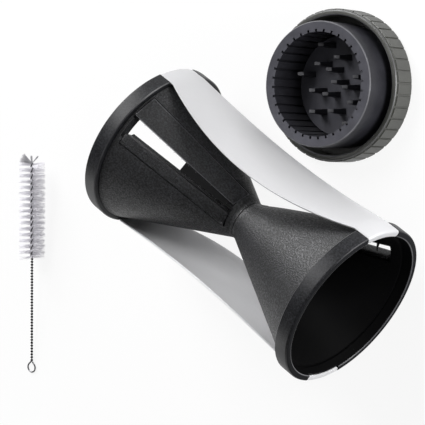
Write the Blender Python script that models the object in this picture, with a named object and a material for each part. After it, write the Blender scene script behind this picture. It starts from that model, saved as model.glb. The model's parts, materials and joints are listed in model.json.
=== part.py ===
"""Hourglass hand spiralizer lying on its side, with its food holder cap taken off beside it
and its twisted wire cleaning brush.

Lengths are in metres. Each half of the body is modelled with its waist at the origin and its
mouth up local Z, and its slot is let in on the local +X side. Places at the slot are given at
a height over the waist as a distance across from the cover's free edge, positive under the
cover and negative over the blade, and a rise, measured square to the cone from the line of
its outer surface at that edge. Clock angles go round the body's axis from straight up towards
world +Y.
"""

import math

import bmesh
import bpy
from mathutils import Matrix, Vector

# Fits shared by every piece
SEAT_GAP = 0.0003            # between two pieces that touch
ROUND_STEPS = 48             # facets round the body
SLOT_STEPS = 6               # straight parts of a piece along the slot
OVERSHOOT = 0.003            # how far a cutter runs past what it cuts

# Hourglass body
BODY_LENGTH = 0.119
RIM_RADIUS = 0.035
RIM_WIDTH = 0.0066
RIM_ROUND = 0.0009
RIM_BACK_CHAMFER = 0.0004
RIM_WALL = 0.0027            # at the mouth
RIM_STEP = 0.002             # rise of the rim over the end of the cone
MOUTH_DRAFT = 0.001          # narrowing of the rim's bore towards the funnel
WAIST_RADIUS = 0.0086
WAIST_FLAT = 0.001
WAIST_FILLET = 0.004
FUNNEL_WALL = 0.0036
FUNNEL_FLOOR = 0.006         # bottom of the hollow, from the waist
SPIGOT_LENGTH = 0.0026       # end of the funnel that sits inside the rim
SPIGOT_STEP = 0.0006
PLUG_RADIUS = 0.0042
PLUG_CHAMFER = 0.0006

# Where the straps and slots stand round the axis
STRAP_CLOCK = math.radians(80)
SLOT_FROM_STRAP = math.radians(50)

# Steel straps
STRAP_THICKNESS = 0.0007
STRAP_END_HALF_ANGLE = math.radians(15.5)
STRAP_MIDDLE_HALF_WIDTH = 0.0158
STRAP_BOW = 0.0053           # how far its middle lies inside its ends
STRAP_CROWN = 1.2            # crown radius at its middle as a share of that at its ends
STRAP_CREASE = 0.0014        # crease behind the rim
STRAP_BEND = 0.0009
STRAP_FOLD_DEPTH = 0.0025    # how far the folded end covers the rim's face
STRAP_CORNER = 0.0011        # rounding of the folded end's corners
STRAP_SET_BACK = 0.0001      # strap's face below the rim's faces
STRAP_STEPS = 16
STRAP_STEPS_ACROSS = 6

# Slot through the wall. Its parts stand off the waist and off the end of the cone.
WINDOW_MARGINS = (0.0066, 0.0012)
WINDOW_UNDER_COVER = 0.0008
WINDOW_EDGE = (0.0054, 0.0098)       # under the blade, at the waist and mouth ends
SLICE_THICKNESS = 0.0013

# Cover over the covered edge
COVER_MARGINS = (0.0041, 0.0008)
COVER_WIDTH = (0.0078, 0.0102)
COVER_THICKNESS = 0.0014
COVER_LIFT = 0.0004          # of its free edge over the cone
COVER_BACK_PROUD = 0.0002

# Slicing blade and the bar that clamps it
BLADE_MARGINS = (0.0036, 0.0024)
BLADE_THROAT = (0.0014, 0.0054)      # cutting edge from the cover's free edge
BLADE_BACK = (0.0070, 0.0112)
BLADE_THICKNESS = 0.0006
BLADE_BEVEL = 0.0012
BLADE_RISE = 0.12            # height gained for each unit away from the cutting edge
BAR_FROM_THROAT = 0.0012
BAR_SLOPE_WIDTH = 0.0012
BAR_BACK = (0.0085, 0.0121)
BAR_PROUD = 0.0001
BAR_STEPS_ACROSS = 3

# Comb beside the covered edge
COMB_THICKNESS = 0.0005
TOOTH_REACH = 0.0032         # past the inside of the wall
TOOTH_ROOT = 0.0016
TOOTH_TIP = 0.0003
TOOTH_SWEEP = 0.0008         # how far the tip is swept towards the mouth
TOOTH_STEPS = 3
FAR_TOOTH_PITCH = 0.0036
NEAR_TOOTH_PITCH = 0.0052

# Food holder cap
CAP_PLACE = (-0.0090, 0.0587)
CAP_TURN = math.radians(33.2)
CAP_RADIUS = 0.0306
CAP_GRIP_HEIGHT = 0.012
CAP_GRIP_WALL = 0.0026
CAP_BASE = 0.002
CAP_EDGE = 0.0008
GRIP_PADS = 40
GRIP_PAD_HEIGHT = 0.0005
GRIP_PAD_MARGIN = 0.0005
HOLDER_RADIUS = 0.025
HOLDER_HEIGHT = 0.0225       # top of the tube over the table
HOLDER_WALL = 0.0043
HOLDER_RIBS = 36             # broad ribs with a narrow groove between two
HOLDER_RIB_HEIGHT = 0.0011
HOLDER_RIB_FACETS = 3        # facets of a rib for each facet of a groove
SPIKE_PLATE = 0.0018
SPIKE_HEIGHT = 0.0088
SPIKE_LENGTH = 0.0034
SPIKE_WIDTH = 0.0026
SPIKE_TIP = 0.55             # tip size as a share of the foot
SPIKE_LEAN = 0.0005
SPIKE_SLANT = 0.0015         # fall of the chisel face across the tip
SPIKE_PLACES = (
    (-0.0047, 0.0165), (0.0029, 0.0112), (-0.0064, 0.0089), (-0.0009, 0.0064),
    (-0.0145, 0.0051), (0.0118, 0.0030), (0.0016, 0.0013), (-0.0090, -0.0017),
    (0.0067, -0.0009), (-0.0026, -0.0034), (0.0156, -0.0047), (0.0092, -0.0070),
    (-0.0090, -0.0102), (0.0000, -0.0102), (0.0067, -0.0153),
)

# Cleaning brush
BRUSH_TIP_PLACE = (-0.1286, -0.0522)
BRUSH_HEADING = math.radians(-62.8)
BRISTLE_LENGTH = 0.0448      # along the wire
BRISTLE_RADIUS = 0.0061
BRISTLE_WIDTH = 0.0002
BRISTLE_TURN = 0.0056        # one full turn of the rows
BRISTLE_STEPS_PER_TURN = 10
BRISTLE_TUFT = 0.004         # length of the tip whose bristles lean forward
BRISTLE_TUFT_LEAN = 0.0045
WIRE_HALF_WIDTH = 0.0008
WIRE_HALF_THICKNESS = 0.0004
STEM_LENGTH = 0.0477
STEM_TURN = 0.0033
STEM_STEPS_PER_TURN = 6
LOOP_RADIUS = 0.0022
LOOP_WIRE_RADIUS = 0.0005
LOOP_STEPS = 20
LOOP_SIDES = 6

# Worked out from the sizes above
HALF_LENGTH = BODY_LENGTH / 2
RIM_BACK = HALF_LENGTH - RIM_WIDTH
MOUTH_RADIUS = RIM_RADIUS - RIM_WALL
CONE_TOP = RIM_BACK - SEAT_GAP
CONE_END_RADIUS = RIM_RADIUS - RIM_STEP
CONE_SLOPE = (CONE_END_RADIUS - WAIST_RADIUS) / (CONE_TOP - WAIST_FLAT)
CONE_ANGLE = math.atan(CONE_SLOPE)
CONE_COS = math.cos(CONE_ANGLE)
SPIGOT_TOP = RIM_BACK + SPIGOT_LENGTH - SEAT_GAP
SPIGOT_RADIUS = CONE_END_RADIUS - SPIGOT_STEP
BORE_RADIUS = PLUG_RADIUS + SEAT_GAP
STRAP_OUTER = RIM_RADIUS - STRAP_SET_BACK
STRAP_FACE = HALF_LENGTH - STRAP_SET_BACK
STRAP_CREASE_HEIGHT = RIM_BACK - STRAP_CREASE
STRAP_MIDDLE_RADIUS = STRAP_OUTER - STRAP_BOW
STRAP_CROWN_RADIUS = STRAP_OUTER * STRAP_CROWN
RECESS_RADIUS = STRAP_OUTER - STRAP_THICKNESS - SEAT_GAP
RECESS_FACE = STRAP_FACE - STRAP_THICKNESS - SEAT_GAP
WINDOW_ENDS = (WINDOW_MARGINS[0], CONE_TOP - WINDOW_MARGINS[1])
COVER_ENDS = (COVER_MARGINS[0], CONE_TOP - COVER_MARGINS[1])
BLADE_ENDS = (BLADE_MARGINS[0], CONE_TOP - BLADE_MARGINS[1])
BLADE_DEPTH = FUNNEL_WALL + SLICE_THICKNESS


def clear_scene():
    for item in list(bpy.data.objects):
        bpy.data.objects.remove(item)


def finish(name, colour, roughness, metallic=0.0):
    """A plain Principled material, shared by every piece that names it."""
    found = bpy.data.materials.get(name)
    if found:
        return found
    made = bpy.data.materials.new(name)
    made.use_nodes = True
    shader = made.node_tree.nodes["Principled BSDF"]
    shader.inputs["Base Color"].default_value = (*colour, 1.0)
    shader.inputs["Roughness"].default_value = roughness
    shader.inputs["Metallic"].default_value = metallic
    made.diffuse_color = (*colour, 1.0)
    return made


def frame_empty(name, parent=None, location=(0, 0, 0), rotation=(0, 0, 0)):
    """An empty that carries a group of pieces."""
    empty = bpy.data.objects.new(name, None)
    bpy.context.scene.collection.objects.link(empty)
    empty.parent = parent
    empty.location = location
    empty.rotation_euler = rotation
    return empty


def piece(name, bm, material, parent):
    """Turns a bmesh into a named object under its frame."""
    bmesh.ops.recalc_face_normals(bm, faces=bm.faces)
    mesh = bpy.data.meshes.new(name)
    bm.to_mesh(mesh)
    bm.free()
    mesh.shade_smooth()
    mesh.set_sharp_from_angle(angle=math.radians(32))
    made = bpy.data.objects.new(name, mesh)
    bpy.context.scene.collection.objects.link(made)
    made.parent = parent
    if material:
        mesh.materials.append(material)
    return made


def cutter(name, bm, parent):
    """A hidden solid that only shapes others."""
    made = piece(name, bm, None, parent)
    made.hide_render = True
    made.display_type = "WIRE"
    return made


def boolean(target, other, operation="DIFFERENCE"):
    step = target.modifiers.new(f"{operation.lower()} {other.name}", "BOOLEAN")
    step.operation = operation
    step.solver = "EXACT"
    step.object = other


def turned(points, closed=True, steps=ROUND_STEPS):
    """A solid of revolution round local Z from (radius, height) pairs."""
    bm = bmesh.new()
    verts = [bm.verts.new((radius, 0, height)) for radius, height in points]
    edges = [bm.edges.new(pair) for pair in zip(verts, verts[1:])]
    if closed:
        edges.append(bm.edges.new((verts[-1], verts[0])))
    bmesh.ops.spin(
        bm, geom=verts + edges, axis=(0, 0, 1), angle=math.tau, steps=steps, use_merge=True
    )
    bmesh.ops.remove_doubles(bm, verts=bm.verts, dist=1e-6)
    return bm


def add_sector(bm, points, middle, half_angle, steps):
    """Adds a closed sector of a solid of revolution, centred on an angle."""
    verts = [bm.verts.new((radius, 0, height)) for radius, height in points]
    bmesh.ops.rotate(bm, verts=verts, matrix=Matrix.Rotation(middle - half_angle, 3, "Z"))
    face = bm.faces.new(verts)
    bmesh.ops.spin(
        bm, geom=[face, *face.edges, *verts], axis=(0, 0, 1), angle=2 * half_angle, steps=steps
    )


def arc(centre, radius, start, end, steps):
    """Points of an arc in the (radius, height) plane, angles in degrees."""
    angles = [math.radians(start + (end - start) * i / steps) for i in range(steps + 1)]
    return [(centre[0] + radius * math.cos(a), centre[1] + radius * math.sin(a)) for a in angles]


def between(pair, height, ends):
    """A size that changes evenly from the waist end of a piece to its mouth end."""
    share = (height - ends[0]) / (ends[1] - ends[0])
    return pair[0] + (pair[1] - pair[0]) * share


def loft(outlines):
    """A closed solid through a row of outlines with the same number of points."""
    bm = bmesh.new()
    loops = []
    for outline in outlines:
        verts = [bm.verts.new(point) for point in outline]
        pairs = zip(verts, verts[1:] + verts[:1])
        loops.append((verts, [bm.edges.new(pair) for pair in pairs]))
    for (_, here), (_, there) in zip(loops, loops[1:]):
        bmesh.ops.bridge_loops(bm, edges=here + there)
    bm.faces.new(loops[0][0])
    bm.faces.new(loops[-1][0])
    return bm


def cone_radius(height, depth=0.0):
    """Radius of the cone at a height over the waist, a depth below its outer surface."""
    return WAIST_RADIUS + CONE_SLOPE * (height - WAIST_FLAT) - depth / CONE_COS


def surface_rise(height, across):
    """How far the cone has curved away at a distance across, as a rise."""
    radius = cone_radius(height)
    return (math.sqrt(radius ** 2 - across ** 2) - radius) * CONE_COS


def slot_solid(ends, section, steps=SLOT_STEPS):
    """A solid along the slot. section(height) gives its outline as (across, rise) pairs."""
    outlines = []
    for i in range(steps + 1):
        height = ends[0] + (ends[1] - ends[0]) * i / steps
        radius = cone_radius(height)
        outlines.append([
            (radius + rise / CONE_COS, across, height) for across, rise in section(height)
        ])
    return loft(outlines)


def grown(ends, margin):
    return ends[0] - margin, ends[1] + margin


def blade_rise(height, across):
    """Rise of the blade's underside at a distance across."""
    throat = between(BLADE_THROAT, height, BLADE_ENDS)
    return -BLADE_DEPTH + BLADE_RISE * (-across - throat)


def window_section(height):
    edge = between(WINDOW_EDGE, height, WINDOW_ENDS)
    deep = -FUNNEL_WALL - 0.004
    return [
        (WINDOW_UNDER_COVER, OVERSHOOT), (-edge, OVERSHOOT),
        (-edge, deep), (WINDOW_UNDER_COVER, deep),
    ]


def cover_section(height, margin=0.0, raised=0.0):
    """Outline of the cover, or of its pocket when it is grown and raised."""
    width = between(COVER_WIDTH, height, COVER_ENDS) + margin
    back = surface_rise(height, width) + COVER_BACK_PROUD
    drop = COVER_THICKNESS + margin
    front = -margin * 4
    return [
        (front, COVER_LIFT + raised), (width, back + raised),
        (width, back - drop), (front, COVER_LIFT - drop),
    ]


def blade_section(height):
    throat = between(BLADE_THROAT, height, BLADE_ENDS)
    back = between(BLADE_BACK, height, BLADE_ENDS)
    bevel = throat + BLADE_BEVEL
    return [
        (-throat, blade_rise(height, -throat)),
        (-bevel, blade_rise(height, -bevel) + BLADE_THICKNESS),
        (-back, blade_rise(height, -back) + BLADE_THICKNESS),
        (-back, blade_rise(height, -back)),
    ]


def bar_section(height):
    """The bar's foot lies over the blade and its top follows the cone."""
    foot = between(BLADE_THROAT, height, BLADE_ENDS) + BAR_FROM_THROAT
    front = foot + BAR_SLOPE_WIDTH
    back = between(BAR_BACK, height, BLADE_ENDS)
    lift = BLADE_THICKNESS + SEAT_GAP
    top = []
    for i in range(BAR_STEPS_ACROSS + 1):
        across = -front + (front - back) * i / BAR_STEPS_ACROSS
        top.append((across, surface_rise(height, across) + BAR_PROUD))
    return [(-foot, blade_rise(height, -foot) + lift), *top,
            (-back, blade_rise(height, -back) + lift)]


def bar_pocket_section(height):
    """Room for the blade and bar, down to the blade's seat."""
    back = between(BAR_BACK, height, BLADE_ENDS) + SEAT_GAP
    front = between(BLADE_THROAT, height, BLADE_ENDS) - SEAT_GAP
    return [
        (-front, OVERSHOOT), (-back, OVERSHOOT),
        (-back, blade_rise(height, -back) - SEAT_GAP),
        (-front, blade_rise(height, -front) - SEAT_GAP),
    ]


def comb_section(_height):
    top = COVER_LIFT - COVER_THICKNESS - SEAT_GAP
    return [
        (0.0, top), (COMB_THICKNESS, top),
        (COMB_THICKNESS, SEAT_GAP - FUNNEL_WALL), (0.0, SEAT_GAP - FUNNEL_WALL),
    ]


def tooth_outline():
    """A fin square to the cone, as (along the cone, depth below its surface) pairs."""
    root = FUNNEL_WALL / 2
    tip = FUNNEL_WALL + TOOTH_REACH
    sides = ([], [])
    for i in range(TOOTH_STEPS + 1):
        share = i / TOOTH_STEPS
        depth = root + (tip - root) * share
        middle = TOOTH_SWEEP * share ** 2
        half_width = (TOOTH_ROOT + (TOOTH_TIP - TOOTH_ROOT) * share) / 2
        sides[0].append((middle - half_width, depth))
        sides[1].append((middle + half_width, depth))
    return sides[0] + sides[1][::-1]


def comb_teeth(pitch):
    """Teeth that run from the comb's strip past the inside of the wall."""
    bm = bmesh.new()
    low, high = WINDOW_ENDS
    end_margin = TOOTH_SWEEP + (FUNNEL_WALL + TOOTH_REACH) * math.sin(CONE_ANGLE)
    count = int((high - low - end_margin) / pitch) + 1
    first = (low + high - end_margin - (count - 1) * pitch) / 2
    inset = SEAT_GAP / 2
    for i in range(count):
        height = first + i * pitch
        verts = [
            bm.verts.new((
                cone_radius(height) + along * math.sin(CONE_ANGLE) - depth * CONE_COS,
                COMB_THICKNESS - inset,
                height + along * CONE_COS + depth * math.sin(CONE_ANGLE),
            ))
            for along, depth in tooth_outline()
        ]
        face = bm.faces.new(verts)
        out = bmesh.ops.extrude_face_region(bm, geom=[face])["geom"]
        moved = [item for item in out if isinstance(item, bmesh.types.BMVert)]
        bmesh.ops.translate(bm, verts=moved, vec=(0, 2 * inset - COMB_THICKNESS, 0))
    return bm


def funnel_outline():
    tangent = WAIST_FILLET * math.tan(CONE_ANGLE / 2)
    centre = (WAIST_RADIUS + WAIST_FILLET, WAIST_FLAT - tangent)
    fillet = arc(centre, WAIST_FILLET, 180, 180 - math.degrees(CONE_ANGLE), 3)
    half_gap = SEAT_GAP / 2
    return [
        (WAIST_RADIUS, half_gap), *fillet[1:], (CONE_END_RADIUS, CONE_TOP),
        (SPIGOT_RADIUS, CONE_TOP), (SPIGOT_RADIUS, SPIGOT_TOP),
        (cone_radius(SPIGOT_TOP, FUNNEL_WALL), SPIGOT_TOP),
        (cone_radius(FUNNEL_FLOOR, FUNNEL_WALL), FUNNEL_FLOOR),
        (BORE_RADIUS, FUNNEL_FLOOR), (BORE_RADIUS, half_gap),
    ]


def rim_outline():
    spigot = (SPIGOT_RADIUS + SEAT_GAP, SPIGOT_TOP + SEAT_GAP)
    outer = arc((RIM_RADIUS - RIM_ROUND, HALF_LENGTH - RIM_ROUND), RIM_ROUND, 0, 90, 3)
    lip = RIM_ROUND / 2
    inner = arc((MOUTH_RADIUS + lip, HALF_LENGTH - lip), lip, 90, 180, 2)
    return [
        (spigot[0], RIM_BACK), (RIM_RADIUS - RIM_BACK_CHAMFER, RIM_BACK),
        (RIM_RADIUS, RIM_BACK + RIM_BACK_CHAMFER), *outer, *inner,
        (MOUTH_RADIUS - MOUTH_DRAFT, spigot[1]), spigot,
    ]


def strap_recess(angles):
    """Cuts the room for the strap ends in a rim, round the given angles."""
    bm = bmesh.new()
    margin = SEAT_GAP / RIM_RADIUS
    outline = [
        (RECESS_RADIUS, RIM_BACK - OVERSHOOT), (RIM_RADIUS + OVERSHOOT, RIM_BACK - OVERSHOOT),
        (RIM_RADIUS + OVERSHOOT, HALF_LENGTH + OVERSHOOT),
        (MOUTH_RADIUS - OVERSHOOT, HALF_LENGTH + OVERSHOOT),
        (MOUTH_RADIUS - OVERSHOOT, RECESS_FACE), (RECESS_RADIUS, RECESS_FACE),
    ]
    for angle in angles:
        add_sector(bm, outline, angle, STRAP_END_HALF_ANGLE + margin, STRAP_STEPS_ACROSS)
    return bm


def strap_path():
    """Stations along a strap from end to end: height, radius of its outer face, radius of its
    crown and half width."""
    half = []
    for i in range(STRAP_STEPS // 2 + 1):
        share = 2 * i / STRAP_STEPS
        bow = share ** 2
        radius = STRAP_MIDDLE_RADIUS + (STRAP_OUTER - STRAP_MIDDLE_RADIUS) * bow
        crown = STRAP_CROWN_RADIUS + (STRAP_OUTER - STRAP_CROWN_RADIUS) * bow
        end_width = STRAP_OUTER * math.sin(STRAP_END_HALF_ANGLE)
        width = STRAP_MIDDLE_HALF_WIDTH + (end_width - STRAP_MIDDLE_HALF_WIDTH) * bow
        half.append((share * STRAP_CREASE_HEIGHT, radius, crown, width))
    bend = arc((STRAP_OUTER - STRAP_BEND, STRAP_FACE - STRAP_BEND), STRAP_BEND, 0, 90, 2)
    for radius, height in bend + [(STRAP_OUTER - STRAP_FOLD_DEPTH, STRAP_FACE)]:
        half.append((height, radius, radius, radius * math.sin(STRAP_END_HALF_ANGLE)))
    mirrored = [(-height, *rest) for height, *rest in reversed(half[1:])]
    return mirrored + half


def strap_mesh():
    stations = strap_path()
    bm = bmesh.new()
    bmesh.ops.create_grid(
        bm, x_segments=len(stations) - 1, y_segments=STRAP_STEPS_ACROSS, size=1.0
    )
    for vert in bm.verts:
        place = round((vert.co.x + 1) / 2 * (len(stations) - 1))
        height, radius, crown, width = stations[place]
        across = width * vert.co.y
        vert.co = (radius - crown + math.sqrt(crown ** 2 - across ** 2), across, height)
    corners = [vert for vert in bm.verts if len(vert.link_edges) == 2]
    bmesh.ops.bevel(
        bm, geom=corners, offset=STRAP_CORNER, affect="VERTICES", segments=3, profile=0.5,
        material=-1,
    )
    return bm


def add_strap(name, parent, material):
    bm = strap_mesh()
    bm.normal_update()
    outward = sum((face.normal for face in bm.faces), Vector())
    if outward.x < 0:
        bmesh.ops.reverse_faces(bm, faces=bm.faces)
    mesh = bpy.data.meshes.new(name)
    bm.to_mesh(mesh)
    bm.free()
    mesh.shade_smooth()
    mesh.set_sharp_from_angle(angle=math.radians(32))
    mesh.materials.append(material)
    strap = bpy.data.objects.new(name, mesh)
    bpy.context.scene.collection.objects.link(strap)
    strap.parent = parent
    thicken = strap.modifiers.new("sheet", "SOLIDIFY")
    thicken.thickness = STRAP_THICKNESS
    thicken.offset = -1.0
    thicken.use_even_offset = True


def build_half(name, parent, strap_angles, tooth_pitch):
    """One funnel with its rim and everything let into its slot."""
    textured = finish("textured_black_plastic", (0.018, 0.018, 0.020), 0.55)
    smooth = finish("smooth_black_plastic", (0.028, 0.029, 0.032), 0.35)
    steel = finish("blade_steel", (0.62, 0.62, 0.63), 0.22, 1.0)

    funnel = piece(f"{name}_funnel", turned(funnel_outline()), textured, parent)
    pockets = (
        ("window", slot_solid(WINDOW_ENDS, window_section)),
        ("cover pocket", slot_solid(
            grown(COVER_ENDS, SEAT_GAP),
            lambda height: cover_section(height, SEAT_GAP, OVERSHOOT))),
        ("bar pocket", slot_solid(grown(BLADE_ENDS, SEAT_GAP), bar_pocket_section)),
    )
    for label, bm in pockets:
        boolean(funnel, cutter(f"{name} {label}", bm, parent))

    rim = piece(f"{name}_rim_ring", turned(rim_outline()), smooth, parent)
    boolean(rim, cutter(f"{name} strap recess", strap_recess(strap_angles), parent))

    piece(f"{name}_slot_cover", slot_solid(COVER_ENDS, cover_section), textured, parent)
    piece(f"{name}_blade", slot_solid(BLADE_ENDS, blade_section, 1), steel, parent)
    piece(f"{name}_blade_bar", slot_solid(BLADE_ENDS, bar_section), textured, parent)
    comb_ends = grown(WINDOW_ENDS, -SEAT_GAP)
    comb = piece(f"{name}_comb", slot_solid(comb_ends, comb_section, 1), steel, parent)
    boolean(comb, cutter(f"{name} comb teeth", comb_teeth(tooth_pitch), parent), "UNION")


def build_body(parent):
    lying = frame_empty("body_axis", parent, (0, 0, RIM_RADIUS), (0, math.pi / 2, 0))
    strap_clocks = {"upper_strap": STRAP_CLOCK, "lower_strap": STRAP_CLOCK - math.pi}
    steel = finish("satin_steel", (0.78, 0.78, 0.79), 0.3, 1.0)
    for name, clock in strap_clocks.items():
        turned_frame = frame_empty(f"{name}_frame", lying, rotation=(0, 0, math.pi - clock))
        add_strap(name, turned_frame, steel)

    # Seen from its own mouth, each slot follows a strap by the same angle.
    near_clock = STRAP_CLOCK + SLOT_FROM_STRAP
    far_clock = STRAP_CLOCK - SLOT_FROM_STRAP
    strap_angles = (SLOT_FROM_STRAP, SLOT_FROM_STRAP + math.pi)
    near = frame_empty("near_half", lying, rotation=(0, 0, math.pi - near_clock))
    far = frame_empty("far_half", lying, rotation=(math.pi, 0, math.pi - far_clock))
    build_half("near", near, strap_angles, NEAR_TOOTH_PITCH)
    build_half("far", far, strap_angles, FAR_TOOTH_PITCH)

    end = FUNNEL_FLOOR - SEAT_GAP
    side = end - PLUG_CHAMFER
    face = PLUG_RADIUS - PLUG_CHAMFER
    plug = [
        (0, -end), (face, -end), (PLUG_RADIUS, -side), (PLUG_RADIUS, side), (face, end), (0, end)
    ]
    smooth = finish("smooth_black_plastic", (0.028, 0.029, 0.032), 0.35)
    piece("waist_plug", turned(plug, closed=False, steps=24), smooth, lying)


def cap_grip_mesh():
    inner = CAP_RADIUS - CAP_GRIP_WALL
    wall = CAP_RADIUS - GRIP_PAD_HEIGHT
    outline = [
        (0, 0), (wall - CAP_EDGE, 0), (wall, CAP_EDGE), (wall, CAP_GRIP_HEIGHT - CAP_EDGE),
        (wall - CAP_EDGE, CAP_GRIP_HEIGHT), (inner, CAP_GRIP_HEIGHT), (inner, CAP_BASE),
        (0, CAP_BASE),
    ]
    bm = turned(outline, closed=False, steps=GRIP_PADS)
    bmesh.ops.recalc_face_normals(bm, faces=bm.faces)
    sides = []
    for face in bm.faces:
        middle = face.calc_center_median()
        if abs(face.normal.z) < 0.01 and middle.xy.dot(face.normal.xy) > 0:
            sides.append(face)
    bmesh.ops.inset_individual(
        bm, faces=sides, thickness=GRIP_PAD_MARGIN, depth=GRIP_PAD_HEIGHT, use_even_offset=True
    )
    return bm


def cap_tube_mesh():
    """A tube with ribs down its inside."""
    low, high = CAP_BASE + SEAT_GAP, HOLDER_HEIGHT
    bore = HOLDER_RADIUS - HOLDER_WALL + HOLDER_RIB_HEIGHT
    outline = [(HOLDER_RADIUS, low), (HOLDER_RADIUS, high), (bore, high), (bore, low)]
    facets = HOLDER_RIB_FACETS + 1
    bm = turned(outline, steps=facets * HOLDER_RIBS)
    bmesh.ops.recalc_face_normals(bm, faces=bm.faces)
    inside = []
    for face in bm.faces:
        middle = face.calc_center_median()
        if abs(face.normal.z) < 0.01 and middle.xy.dot(face.normal.xy) < 0:
            inside.append((math.atan2(middle.y, middle.x), face))
    inside.sort(key=lambda item: item[0])
    ribs = [face for i, (_, face) in enumerate(inside) if i % facets]
    drawn = bmesh.ops.extrude_face_region(bm, geom=ribs)["geom"]
    bmesh.ops.delete(bm, geom=ribs, context="FACES_ONLY")
    for item in drawn:
        if isinstance(item, bmesh.types.BMVert):
            item.co.xy *= 1 - HOLDER_RIB_HEIGHT / bore
    return bm


def spike_mesh():
    """Tapered spikes with slanted tips, sunk into their plate."""
    bm = bmesh.new()
    foot = CAP_BASE + SEAT_GAP + SPIKE_PLATE / 2
    top = foot + SPIKE_PLATE / 2 + SPIKE_HEIGHT
    for place in SPIKE_PLACES:
        new = bmesh.ops.create_cube(bm, size=1.0)["verts"]
        for vert in new:
            if vert.co.z > 0:
                vert.co.z = top - SPIKE_SLANT * (vert.co.x + 0.5)
                vert.co.x = vert.co.x * SPIKE_LENGTH * SPIKE_TIP - SPIKE_LEAN
                vert.co.y *= SPIKE_WIDTH * SPIKE_TIP
            else:
                vert.co.z = foot
                vert.co.x *= SPIKE_LENGTH
                vert.co.y *= SPIKE_WIDTH
        bmesh.ops.translate(bm, verts=new, vec=(*place, 0))
    return bm


def build_cap(parent):
    cap = frame_empty("cap", parent, (*CAP_PLACE, 0), (0, 0, CAP_TURN))
    grey = finish("cap_grip_plastic", (0.055, 0.058, 0.056), 0.5)
    black = finish("cap_black_plastic", (0.022, 0.023, 0.024), 0.4)
    piece("cap_grip", cap_grip_mesh(), grey, cap)
    piece("cap_tube", cap_tube_mesh(), black, cap)
    low = CAP_BASE + SEAT_GAP
    radius = HOLDER_RADIUS - HOLDER_WALL - SEAT_GAP
    plate = [(0, low), (radius, low), (radius, low + SPIKE_PLATE), (0, low + SPIKE_PLATE)]
    spikes = piece("cap_spikes", turned(plate, closed=False, steps=36), black, cap)
    boolean(spikes, cutter("spike forms", spike_mesh(), cap), "UNION")


def twisted_strip(length, turn, steps_per_turn):
    """A flat strip along local X, turning evenly round it."""
    steps = round(length / turn * steps_per_turn)
    outlines = []
    for i in range(steps + 1):
        angle = math.tau * i / steps_per_turn
        spun = Matrix.Rotation(angle, 3, "X")
        x = length * i / steps
        outlines.append([
            spun @ Vector((x, across, rise))
            for across, rise in (
                (WIRE_HALF_WIDTH, WIRE_HALF_THICKNESS), (-WIRE_HALF_WIDTH, WIRE_HALF_THICKNESS),
                (-WIRE_HALF_WIDTH, -WIRE_HALF_THICKNESS), (WIRE_HALF_WIDTH, -WIRE_HALF_THICKNESS),
            )
        ])
    return outlines


def bristle_mesh():
    """Strands drawn out of the narrow sides of a twisted strip."""
    outlines = twisted_strip(BRISTLE_LENGTH, BRISTLE_TURN, BRISTLE_STEPS_PER_TURN)
    bm = bmesh.new()
    rows = [[bm.verts.new(point) for point in outline] for outline in outlines]
    for row in rows:
        for pair in zip(row, row[1:] + row[:1]):
            bm.edges.new(pair)
    bm.verts.ensure_lookup_table()
    narrow = []
    for here, there in zip(rows, rows[1:]):
        for corner in range(4):
            following = (corner + 1) % 4
            if corner % 2:
                narrow.append((here[corner], here[following], there[following]))
                narrow.append((here[corner], there[following], there[corner]))
            else:
                bm.faces.new((here[corner], here[following], there[following], there[corner]))
    feet = [bm.faces.new(corners) for corners in narrow]
    bm.faces.new(rows[0])
    bm.faces.new(rows[-1])
    bmesh.ops.recalc_face_normals(bm, faces=bm.faces)
    bmesh.ops.inset_individual(bm, faces=feet, thickness=0.0001)
    for face in feet:
        middle = face.calc_center_median()
        for vert in face.verts:
            offset = vert.co - middle
            vert.co = middle + offset * min(1.0, BRISTLE_WIDTH / 2 / offset.length)
    strands = bmesh.ops.extrude_discrete_faces(bm, faces=feet)["faces"]
    for face in strands:
        middle = face.calc_center_median()
        outward = Vector((0, middle.y, middle.z)).normalized()
        reach = BRISTLE_RADIUS - Vector((middle.y, middle.z)).length
        lean = BRISTLE_TUFT_LEAN * max(0.0, 1 - middle.x / BRISTLE_TUFT)
        shift = outward * reach - Vector((lean, 0, 0))
        bmesh.ops.translate(bm, verts=face.verts, vec=shift)
    return bm


def loop_mesh():
    bm = bmesh.new()
    ring = bmesh.ops.create_circle(bm, segments=LOOP_SIDES, radius=LOOP_WIRE_RADIUS)["verts"]
    bmesh.ops.rotate(bm, verts=ring, matrix=Matrix.Rotation(math.pi / 2, 3, "X"))
    bmesh.ops.translate(bm, verts=ring, vec=(LOOP_RADIUS, 0, 0))
    bmesh.ops.spin(
        bm, geom=ring + bm.edges[:], axis=(0, 0, 1), angle=math.tau, steps=LOOP_STEPS,
        use_merge=True,
    )
    bmesh.ops.remove_doubles(bm, verts=bm.verts, dist=1e-6)
    centre = BRISTLE_LENGTH + SEAT_GAP + STEM_LENGTH + LOOP_RADIUS
    bmesh.ops.translate(bm, verts=bm.verts, vec=(centre, 0, 0))
    return bm


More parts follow.
